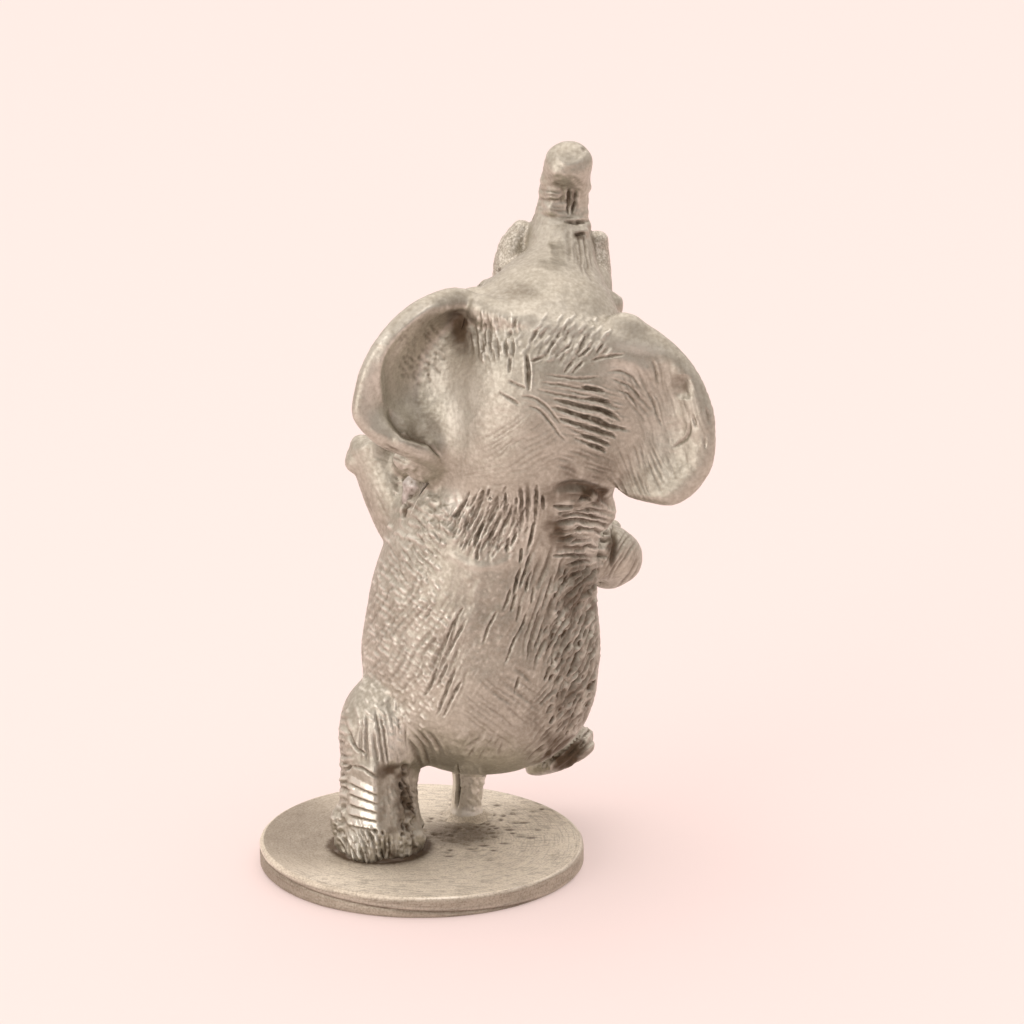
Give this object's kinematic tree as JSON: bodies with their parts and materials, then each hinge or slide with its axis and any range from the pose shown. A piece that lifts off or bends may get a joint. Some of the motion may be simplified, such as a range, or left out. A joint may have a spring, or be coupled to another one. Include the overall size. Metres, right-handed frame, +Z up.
{
  "type": "elephant figurine",
  "caption": "Small cast pewter elephant dancing upright on one hind leg and its tail, trunk raised, soldered to a round base; stands on a shelf as an ornament",
  "frame": {"origin": "centre of the round base's flat underside, on the surface the figurine stands on", "axes": "+Z up through the figure; the elephant faces -Y and its back, the side seen in the picture, faces +Y; +X is the elephant's own left, where the standing leg is"},
  "size_m": [0.0347, 0.0274, 0.0552],
  "materials": {
    "figure_pewter": "cast tin pewter with darkened recesses and hand polished high spots",
    "base_pewter": "cast tin pewter, dull and lightly brushed",
    "solder": "soft solder, darkened and slightly glossy"
  },
  "bodies": {
    "root": {"torso": "figure_pewter", "head": "figure_pewter", "trunk": "figure_pewter", "left_ear": "figure_pewter", "right_ear": "figure_pewter", "left_tusk": "figure_pewter", "right_tusk": "figure_pewter", "left_foreleg": "figure_pewter", "right_foreleg": "figure_pewter", "left_hind_leg": "figure_pewter", "right_hind_leg": "figure_pewter", "tail": "figure_pewter", "base_disc": "base_pewter", "foot_solder": "solder", "tail_solder": "solder", "shoulder_solder": "solder"}
  },
  "joints": []
}
